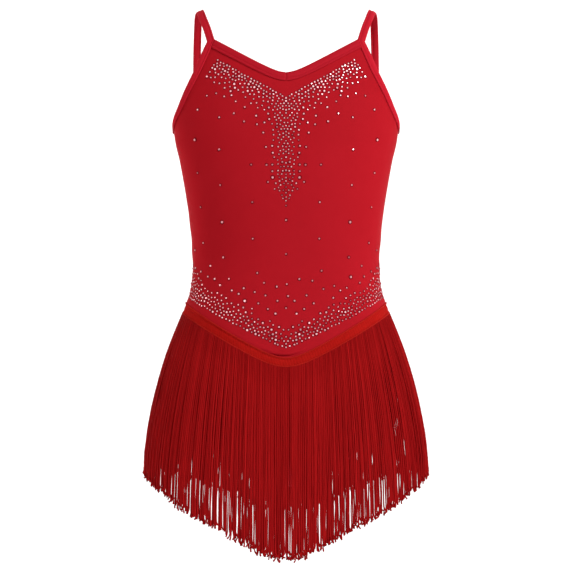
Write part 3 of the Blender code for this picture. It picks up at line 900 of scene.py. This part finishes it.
# the middle line of every strand of a face, with its radii and shades
def strandPaths(facing, bottom):
    f = fringe
    count = f["strands"]
    order = np.arange(count)
    seeded = np.random.default_rng(100 + facing)
    share = (order + 0.5 + seeded.uniform(-0.3, 0.3, count)) / count
    root, outward, angle, length = rowAt(facing, bottom, np.clip(share, 0.002, 0.998))
    pitch = length / count
    side = np.abs(across(angle))
    deep = inwardShare(angle)

    # strands hang together in clumps, with gaps between that open lower down
    centre, strength, level = np.zeros(count), np.zeros(count), np.zeros(count)
    start = 0
    while start < count:
        size = int(seeded.integers(*f["clumpSize"]))
        members = np.arange(start, min(start + size, count))
        centre[members] = members.mean()
        strength[members] = max(seeded.normal(1.0, 0.8), -0.3)
        level[members] = seeded.uniform(-f["clumpUneven"], f["clumpUneven"])
        start += size
    looseness = tableValue(clumping, np.abs(share - 0.5) * 2)
    strength = strength * looseness

    along = unit(np.cross(outward, np.array([0.0, 0.0, 1.0])))
    along = along * np.sign((along * np.gradient(root, axis=0)).sum(1, keepdims=True))
    t = np.linspace(0, 1, f["straightPoints"])[None, :]
    outwards = 1 - (1 - t) ** f["flarePower"]
    total = smoothRow(hemLength[facing], side)[:, 0]
    reach = total / smoothRow(hemLength[front], side)[:, 0]
    total = total + seeded.normal(0, f["uneven"], count) * 0.6 + level
    flare = np.sign(angle) * f["sideFlare"] * side ** f["flareSpread"] * reach
    x = flare[:, None] * outwards
    y = (-facing * f["faceFlare"][facing] * deep)[:, None] * outwards
    z = -(total - f["hookLength"] * 0.75)[:, None] * t
    hang = np.stack([x, y, z], -1)

    # sideways: towards the clump's middle, towards the nearest strands, and astray
    gather = (centre - order) * pitch * strength * f["clumpPull"]
    few = np.repeat(order, seeded.integers(*f["together"], count))[:count]
    middle = np.bincount(few, order) / np.maximum(np.bincount(few), 1)
    close = (middle[few] - order) * pitch * f["closePull"]
    shift = gather[:, None] * rise(t, 0.35, 0.85) * (1 - 0.4 * rise(t, 0.9, 1.0))
    shift = shift + close[:, None] * rise(t, 0.0, 0.08)
    phase, speed = seeded.uniform(0, 6.28, count), seeded.uniform(1.2, 2.6, count)
    stray = f["wave"] * np.sin(t * 2 * math.pi * speed[:, None] + phase[:, None]) * t * 0.5
    stray = stray + seeded.normal(0, 0.45, count)[:, None] * rise(t, 0.05, 0.5)
    stray = stray + seeded.normal(0, 0.2, (count, f["straightPoints"])) * t
    shift = shift + stray * (0.3 + 0.7 * looseness)[:, None]

    # outwards: the strand's layer, and a little waving
    layer = (order % f["layers"]) * f["layerDepth"] + seeded.uniform(0, 0.5, count)
    stand = layer[:, None] * (0.4 + 0.6 * rise(t, 0.0, 0.35))
    stand = stand + seeded.normal(0, 0.2, stand.shape) * t
    stand = stand + 0.3 * np.sin(t * 2 * math.pi * 0.8 + phase[:, None] * 0.5) * t
    lift = body["clothWall"] / 2 + body["tapeGap"] + f["radius"]
    paths = root[:, None] + outward[:, None] * lift + hang
    paths = paths + along[:, None] * shift[..., None] + outward[:, None] * stand[..., None]

    # the cut ends untwist and curl
    bend = seeded.normal(0, f["hookTurn"], count)[:, None]
    turned = bend * np.linspace(0.1, 1, f["hookPoints"])[None, :] ** 1.3
    step = f["hookLength"] / f["hookPoints"]
    plane = seeded.uniform(-0.7, 0.7, count)[:, None]
    sideways = np.cumsum(np.sin(turned) * np.cos(plane), 1) * step
    outside = np.cumsum(np.sin(turned) * np.sin(plane), 1) * step
    down = np.cumsum(np.cos(turned), 1) * step
    ends = paths[:, -1:] + along[:, None] * sideways[..., None] + outward[:, None] * outside[..., None]
    ends = ends - np.array([0.0, 0.0, 1.0]) * down[..., None]
    paths = np.concatenate([paths, ends], axis=1)

    # painted shade: darker at the roots under the tape, at the frayed tips and round the sides, more so on
    # the front's right and the back's left against the key light; the random spread is each strand's own tone
    run = np.linspace(0, 1, paths.shape[1])[None, :]
    swell = 1 + (f["frayed"] - 1) * rise(run, 0.8, 0.93)
    radii = f["radius"] * swell * seeded.uniform(0.85, 1.15, (count, 1))
    shade = seeded.normal(0.5, 0.19, (count, 1)) - 0.35 * rise(run, 0.86, 1.0)
    shade = shade - 0.25 * (1 - rise(run, 0.0, 0.12))
    shade = shade - (0.2 + 0.12 * np.sign(angle) * facing)[:, None] * side[:, None] ** 2
    return paths, radii, np.clip(shade, 0, 1)


def fringeOf(facing):
    name = faceName[facing]
    top, bottom = tapeRows(facing)
    pieces = [fringeTape(facing, top, bottom)]
    pieces.append(twistedCord(facing, top, heading["cordDrop"], name + "UpperCord"))
    pieces.append(twistedCord(facing, bottom, -heading["cordDrop"], name + "LowerCord"))
    strands = cordMesh(name + "Strands", *strandPaths(facing, bottom), fringe["sides"], strandCord)
    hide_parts("fringe_" + name)
    pieces.append(strands)
    for thing in pieces:
        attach(thing, "root")
    return pieces


frontFringe = fringeOf(front)
backFringe = fringeOf(back)

print("stage: rhinestones")

stones = {
    "sizes": (1.65, 1.8, 2.25),  # radii with the dark ring of painted shadow
    "odds": (0.58, 0.33, 0.09),
    "pitch": {"yoke": 3.9, "hips": 4.4},  # along the neat rows at the edges of the two zones
    "yokeTop": 99.0,  # level of the yoke's upper line at the centre
    "yokeSlope": 0.575,
    "yokeReach": 84.0,  # along its slope
    "columnFoot": 214.0,  # level where the column under the yoke ends
    "hipTip": 359.8,  # level of the hip band's lower line at the centre
    "hipSlope": 0.51,
    "hipRounding": 1.5,
    "sideClimb": 0.42,  # how much higher the hip band reaches at the side seams
    "widest": 6.6,  # spacing at which the dense zones end
    "closest": 0.86,  # least share of the spacing at first, before the stones are moved apart
    "tries": 60000,
    "rounds": 14,
    "moveShare": 0.3,
    "corners": 8,
    "acrossFrom": (0, 118),  # where places are drawn: from the centre line outwards, and levels
    "levelsFrom": (48, 362),
    "astray": (0.12, 0.35),  # how uneven the neat rows are, in degrees and levels
    "tilt": 0.08,  # how far stones lean out of the cloth's own direction
    "aloneFrom": 5.5,  # distance to the next stone from which one counts as single
    "aloneSize": 1.25,
    "brightHip": -72.0,  # where the hip with the painted brighter stones lies across
}
# distance into the yoke or the hip band from its edge, spacing there
yokeSpacing = [(0, 3.3), (6, 3.35), (12, 3.7), (18, 4.5), (24, 5.8), (30, 8)]
hipSpacing = [(0, 3.45), (6, 3.55), (12, 3.85), (17, 4.8), (24, 8)]
# level, half width of the column's dense middle, half width of the whole column
columnWidth = [
    (103.4, 14.5, 23.2), (112.3, 12.1, 20.3), (123.1, 10.6, 18.4), (133, 8.7, 17.4), (143.7, 6.8, 16.4),
    (154.4, 5.8, 13.5), (165.1, 5.8, 14.5), (172.8, 6.8, 14.5), (182.4, 8.7, 14), (190.1, 8.7, 13),
    (195.9, 7.7, 11.6), (199.7, 5.8, 8.2), (203.5, 3.9, 5.3), (207.4, 1.9, 2.9), (210.2, 0, 0.6),
    (214.1, -1, -0.5),
]
# level, painted sparkle of its stones: how lit they are made to look there
sparkleAt = [(50, 0.7), (110, 0.7), (135, 0.5), (175, 0.28), (270, 0.25), (300, 0.42), (360, 0.4)]
# level, share of the full size there
sizeAt = [(95, 1.04), (110, 0.92), (300, 0.92), (325, 0.97), (350, 1.06)]
# single stones, each with its mirror image: distance from the centre line, level
singlePairs = [
    (49.9, 90.7), (73.1, 93.7), (57.0, 96.3), (83.1, 95.9), (64.6, 97.3), (52.5, 102.8), (36.6, 105.1),
    (43.0, 109.2), (29.5, 109.9), (92.7, 110.3), (54.3, 115.5), (31.1, 118.4), (69.7, 119.4),
    (43.7, 124.3), (22.5, 125.6), (30.2, 127.5), (23.6, 136.3), (95.6, 142.0), (20.8, 151.3),
    (69.8, 153.3), (36.2, 169.6), (20.2, 170.0), (92.7, 176.7), (18.7, 187.7), (68.4, 190.3),
    (105.3, 205.1), (35.0, 208.5), (0.0, 207.1), (0.0, 212.1), (89.5, 212.7), (0.0, 227.2),
    (66.7, 228.9), (34.6, 246.4), (86.8, 250.3), (95.8, 257.7), (0.0, 262.5), (65.5, 265.8),
    (79.2, 274.7), (89.5, 280.7), (81.8, 286.1), (56.5, 300.7), (21.4, 305.9), (8.9, 311.5),
    (28.8, 314.2), (0.0, 319.1), (18.9, 320.1), (11.0, 324.9),
]
# single stones of the belly, which have no mirror image
bellySingles = [
    (37.0, 280.0), (67.6, 286.6), (13.8, 288.7), (27.4, 290.5), (77.1, 292.6), (50.2, 295.9),
    (63.3, 298.0), (38.9, 299.2), (49.2, 308.5), (-29.9, 282.3), (-59.5, 288.5), (-74.6, 288.6),
    (-22.9, 292.7), (-69.0, 295.1), (-9.6, 296.7), (-44.0, 298.3), (-32.6, 302.3), (-49.3, 304.3),
    (-43.0, 311.7), (-35.4, 319.7), (0.8, 294.1), (2.1, 306.6),
]


# level of the hip band's lower line
def hipLine(angle):
    s = stones
    x = tapeHalf * np.abs(across(angle))
    return s["hipTip"] + s["hipRounding"] - np.hypot(s["hipRounding"], s["hipSlope"] * x)


# how far apart stones lie at places of the front, and a vast number where there are none
def spacingOf(places, x):
    s = stones
    x, level = np.abs(x), places[:, 1]
    none = 1e9
    best = np.full(len(x), none)

    below = level - (s["yokeTop"] - s["yokeSlope"] * x)
    along = (x + s["yokeSlope"] * (s["yokeTop"] - level)) / math.hypot(1, s["yokeSlope"])
    yoke = tableValue(yokeSpacing, below)
    best = np.where((below > 0) & (along < s["yokeReach"]), np.minimum(best, yoke), best)

    dense, whole = tableValue(columnWidth, level, 1), tableValue(columnWidth, level, 2)
    column = 3.4 + 3.1 * np.clip((x - dense) / (whole - dense), 0, 1)
    inside = (level > s["yokeTop"]) & (level < s["columnFoot"]) & (x < whole)
    best = np.where(inside & (below > 0), np.minimum(best, column), best)

    above = hipLine(places[:, 0]) + 0.6 - level
    hip = tableValue(hipSpacing, above * (1 - s["sideClimb"] * rise(x, 84, 98)))
    best = np.where(above > 0, np.minimum(best, hip), none)

    # clear of the armhole binding and the side seam
    hole = armhole(front, 60)[::-1]
    edge = np.where(level < 125, np.interp(level, hole[:, 1], hole[:, 0]), 93.0)
    clear = (np.abs(places[:, 0]) < edge - 7) & (below > 0) & (best < s["widest"])
    return np.where(clear, best, none)


# right half of the neat rows along the yoke's upper line and the hip band's lower line
def lineStones():
    s = stones
    x = np.linspace(0, s["yokeReach"] / math.hypot(1, s["yokeSlope"]), 240)
    level = s["yokeTop"] - s["yokeSlope"] * x + 0.6
    lines = {"yoke": np.column_stack([angleAt(x, level), level])}
    angle = np.linspace(0, 85, 240)
    lines["hips"] = np.column_stack([angle, hipLine(angle)])
    found = []
    for zone, line in lines.items():
        run = runAlong(surfaceAt(front, line))
        row = cutAt(np.arange(0, run[-1], s["pitch"][zone]), run, line)
        row[1:] += draws.normal(0, 1, row[1:].shape) * s["astray"]
        found.append(row)
    return np.concatenate(found)


def placesOf(table):
    x, level = np.array(table, float).T
    return np.column_stack([np.sign(x) * angleAt(x, level), level])


# places moved apart until they lie at about their spacing; the first ones are fixed
def spread(places, fixed, belly):
    places = places.copy()
    moved = places[fixed:, 0] > 0.01
    for _ in range(stones["rounds"]):
        points = surfaceAt(front, places)
        others = np.concatenate([points, points * [-1, 1, 1], surfaceAt(front, belly)])
        want = spacingOf(places, points[:, 0])[fixed:]
        want = np.where(want < stones["widest"], want, 0)[:, None]
        away = points[fixed:, None] - others[None]
        gap = np.linalg.norm(away, axis=-1)
        push = np.where((gap > 0.01) & (gap < want), (want - gap) / np.maximum(gap, 0.01), 0)
        step = (away * push[..., None]).sum(1) * stones["moveShare"]
        step[~moved, 0] = 0
        length = np.linalg.norm(step, axis=1)
        ahead = walk(front, places[fixed:], unit(step), np.minimum(length, 1.0), 1)
        ahead[~moved, 0] = 0
        inside = spacingOf(ahead, surfaceAt(front, ahead)[:, 0]) < stones["widest"]
        places[fixed:] = np.where(inside[:, None], ahead, places[fixed:])
    return places


# the pattern is laid on one half and mirrored, as it is on a transfer sheet
def scatterStones():
    s = stones
    x, level = draws.uniform(*s["acrossFrom"], s["tries"]), draws.uniform(*s["levelsFrom"], s["tries"])
    places = placesOf(np.column_stack([x, level]))
    spacing = spacingOf(places, x)
    kept = spacing < 1e8
    places, spacing, x = places[kept], spacing[kept], x[kept]
    spacing = spacing * s["closest"]
    places[x < spacing / 2, 0] = 0.0
    points = surfaceAt(front, places)
    belly = placesOf(bellySingles)
    half = np.concatenate([lineStones(), placesOf(singlePairs)])
    taken = surfaceAt(front, np.concatenate([half, np.abs(belly)]))
    count = len(taken)
    room = np.zeros((count + len(points), 3))
    room[:count] = taken
    found = [half]
    for place, point, gap in zip(places, points, spacing):
        if ((room[:count] - point) ** 2).sum(1).min() < gap * gap:
            continue
        room[count] = point
        count += 1
        found.append(place[None])
    found = spread(np.concatenate(found), len(half), belly)
    size = draws.choice(s["sizes"], len(found), p=s["odds"])
    paired = found[:, 0] > 0.01
    size = np.concatenate([size, size[paired], draws.choice(s["sizes"], len(belly), p=s["odds"])])
    found = np.concatenate([found, found[paired] * [-1, 1], belly])
    size = size * tableValue(sizeAt, found[:, 1])
    # the single stones between the dense parts are larger
    seats = surfaceAt(front, found)
    apart = np.linalg.norm(seats[None] - seats[:, None], axis=-1) + 99 * np.eye(len(seats))
    alone = (apart.min(1) > s["aloneFrom"]) & (found[:, 1] > 105)
    size = size * np.where(alone, s["aloneSize"], 1.0)
    # painted highlight: one hip's stones are set brighter than the other's, large stones brighter still, with
    # a random spread
    low = found[:, 1] > 250
    caught = tableValue(sparkleAt, found[:, 1]) + 0.45 * bump(seats[:, 0] - s["brightHip"], 28) * low
    caught = caught - 0.14 * rise(seats[:, 0], 10, 60) * low
    caught = caught + draws.normal(0, 0.2, len(size)) * np.where(alone, 0.4, 1) + 0.2 * (size > 2.1)
    return found, size, np.clip(caught, 0, 1)


# a part of a cut stone whose dark rim of painted shadow has radius 1: the rim, the ring of side facets or the
# table
def stonePart(part):
    corners = stones["corners"]
    low, high = corners, 2 * corners
    points, faces = [], []
    for radius, height, shift in ((1.0, 0.0, 0.0), (0.57, 0.1, 0.0), (0.38, 0.34, 0.5)):
        for c in range(corners):
            a = 2 * math.pi * (c + shift) / corners
            points.append((radius * math.cos(a), radius * math.sin(a), height))
    for c in range(corners):
        n = (c + 1) % corners
        if part == "Rims":
            faces.append((c, n, low + n, low + c))
        if part == "Facets":
            faces += [(low + c, low + n, high + c), (low + n, high + n, high + c)]
    if part == "Tables":
        faces.append(tuple(range(high, 3 * corners)))
    return rawMesh("stone" + part, points, [], faces)


# turns that take Z to each normal and X to the direction along
def turnsOf(normals, along):
    x = unit(along - normals * (normals * along).sum(1, keepdims=True))
    y = np.cross(normals, x)
    return np.array([Matrix(np.column_stack(axes).tolist()).to_euler() for axes in zip(x, y, normals)])


# copies of a small shape, seated on points by Geometry Nodes
def onSurface(name, points, turns, sizes, caught, shape, material):
    mesh = rawMesh(name + "Seats", (points * mm).tolist(), [], [])
    storeValues(mesh, "seatTurn", turns, "FLOAT_VECTOR")
    storeValues(mesh, "paintedSparkle", np.broadcast_to(caught, len(points)))
    storeValues(mesh, "seatScale", sizes * mm)
    thing = addObject(name, mesh)
    model = bpy.data.objects.new(name + "Model", shape)

    tree, given, keys = geometryTree(name + "Seating", Model="Object")
    seats = addNode(tree, "GeometryNodeMeshToPoints", Mesh=given["Geometry"])
    one = addNode(tree, "GeometryNodeObjectInfo", Object=given["Model"])
    copies = addNode(
        tree,
        "GeometryNodeInstanceOnPoints",
        Points=seats.outputs[0],
        Instance=one.outputs["Geometry"],
        Rotation=storedValue(tree, "seatTurn", "FLOAT_VECTOR"),
        Scale=storedValue(tree, "seatScale"),
    )
    runTree(tree, copies.outputs[0], thing, material, {keys["Model"]: model})
    bpy.data.objects.remove(model)
    return thing


stonePlaces, stoneSizes, stoneSparkle = scatterStones()
stoneOut = outwardAt(front, stonePlaces)
stoneSeat = surfaceAt(front, stonePlaces)
stoneLift = body["clothWall"] / 2 + 0.02 + relief(front, stonePlaces, stoneSeat)
stoneSeat = stoneSeat + stoneOut * stoneLift[:, None]
stoneTilted = unit(stoneOut + draws.normal(0, stones["tilt"], stoneOut.shape))
stoneTurns = turnsOf(stoneTilted, draws.normal(0, 1, stoneOut.shape))
# rims carry painted shadow round each stone; tables and facets carry a painted sparkle
for part, stuff in (("Rims", stoneShadowRim), ("Facets", crystalFacets), ("Tables", crystalTable)):
    cutPart = onSurface("stone" + part, stoneSeat, stoneTurns, stoneSizes, stoneSparkle, stonePart(part), stuff)
    cutPart.data.shade_flat()
    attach(cutPart, "root")
print("stones", len(stoneSizes))

print("stage: stitches")

stitch = {"length": 2.3, "pitch": 3.0, "radius": 0.085, "bow": 0.06}  # radius and bow as shares of the length


# one stitch, a short bowed bar 1 long in X
def stitchMesh():
    rings, corners = 5, 6
    points, faces = [], []
    for r in range(rings):
        t = r / (rings - 1)
        height = stitch["bow"] * math.sin(math.pi * t) - 0.03
        size = stitch["radius"] * (0.45 + 0.55 * math.sin(math.pi * t))
        for c in range(corners):
            a = 2 * math.pi * c / corners
            points.append((t - 0.5, size * math.cos(a), height + size * math.sin(a)))
    for r in range(rings - 1):
        for c in range(corners):
            n = (c + 1) % corners
            faces.append((r * corners + c, (r + 1) * corners + c, (r + 1) * corners + n, r * corners + n))
    return rawMesh("stitch", points, [], faces)


# seats, normals and directions of stitches along a line of points
def stitchesAlong(line, outward):
    run = runAlong(line)
    at = np.arange(stitch["pitch"], run[-1] - stitch["pitch"] / 2, stitch["pitch"])
    spots = cutAt(at, run, line)
    return spots, unit(cutAt(at, run, outward)), unit(cutAt(at + 0.5, run, line) - spots)


# stitches along the bindings' inner edges and the straps, on both sides
def allStitches():
    lift = body["clothWall"] / 2 + strip["foldGap"] + strip["wall"] * 0.8
    edges = [(front, neckFrontEdge, neckFrontInner), (back, neckBackEdge, neckBackInner)]
    edges += [(facing, *loopSeams[facing]) for facing in (front, back)]
    lines = []
    for facing, edge, inner in edges:
        row = inner + (edge - inner) * strip["seamShare"]
        outward = outwardAt(facing, row)
        lines.append((surfaceAt(facing, row) + outward * lift, outward))
    here, width, out = strapLine
    strapLift = strip["strapSlit"] + strip["wall"] * 0.8
    lines.append((here + width * strip["loopWidth"] * 0.33 + out * strapLift, out))
    sides = ([1, 1, 1], [-1, 1, 1])
    found = [stitchesAlong(line * side, out * side) for line, out in lines for side in sides]
    return [np.concatenate(parts) for parts in zip(*found)]


spots, outs, runs = allStitches()
lengths = np.full(len(spots), stitch["length"])
seams = onSurface("bindingStitches", spots, turnsOf(outs, runs), lengths, 0, stitchMesh(), thread)
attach(seams, "root")

print("stage: light and camera")

studio = {
    "eye": (0.0005, -2.4, -0.2965),
    "framePixels": 573,
    "mmPerPixel": 1.08,
    "sensor": 36.0,
    "floorLevel": -0.95,
    "wallAt": 3.4,
    "wallBend": 0.8,
    "halfWidth": 6.0,
    "worldLight": 0.15,
}
# name, place, target, size, power, colour
lights = [
    ("key", (1.5, -1.85, 1.15), (0, 0, -0.3), (0.9, 0.9), 62, (1, 1, 1)),
    ("fill", (-1.9, -1.5, -0.1), (0, 0, -0.3), (1.2, 1.8), 1.2, (1, 1, 1)),
    ("rim", (-2.0, -0.3, 0.1), (0, 0, -0.3), (0.5, 1.6), 9, (1, 0.5, 0.5)),
    ("wallLeft", (-2.6, 1.3, 1.0), (-0.5, 3.4, -0.3), (1.0, 2.0), 80, (1, 1, 1)),
    ("wallRight", (2.6, 1.3, 1.0), (0.5, 3.4, -0.3), (1.0, 2.0), 80, (1, 1, 1)),
]


def areaLight(name, place, target, size, power, colour):
    data = bpy.data.lights.new(name, "AREA")
    data.shape = "RECTANGLE"
    data.size, data.size_y = size
    data.energy = power
    data.color = colour
    thing = addObject(name, data)
    thing.location = place
    thing.rotation_euler = (Vector(target) - Vector(place)).to_track_quat("-Z", "Y").to_euler()


# a pale floor that curves up into a wall
def backdrop():
    reach, floor, wall, bend = [studio[key] for key in ("halfWidth", "floorLevel", "wallAt", "wallBend")]
    line = [(-5.0, floor), (wall - bend, floor)]
    for k in range(1, 13):
        a = math.pi / 2 * k / 12
        line.append((wall - bend + bend * math.sin(a), floor + bend - bend * math.cos(a)))
    line.append((wall, 4.0))
    points = np.array([[(-reach, y, z), (reach, y, z)] for y, z in line]) * 1000
    material, tree = emptyMaterial("pale backdrop")
    paint = {"Base Color": linear("f4f4f4"), "Roughness": 0.9}
    finishMaterial(material, addNode(tree, "ShaderNodeBsdfPrincipled", **paint))
    newMesh("backdrop", points.reshape(-1, 3), gridFaces(len(line), 2), material)


backdrop()
world = bpy.data.worlds.new("studio")
world.use_nodes = True
sky = world.node_tree.nodes["Background"].inputs
sky["Color"].default_value = (1, 1, 1, 1)
sky["Strength"].default_value = studio["worldLight"]
bpy.context.scene.world = world
bpy.context.scene.view_settings.view_transform = "Standard"
for light in lights:
    areaLight(*light)

camera = bpy.data.cameras.new("camera")
camera.sensor_width = studio["sensor"]
camera.lens = studio["sensor"] * -studio["eye"][1] * 1000 / (studio["framePixels"] * studio["mmPerPixel"])
cameraObject = addObject("camera", camera)
cameraObject.location = studio["eye"]
cameraObject.rotation_euler = (math.pi / 2, 0, 0)
bpy.context.scene.camera = cameraObject
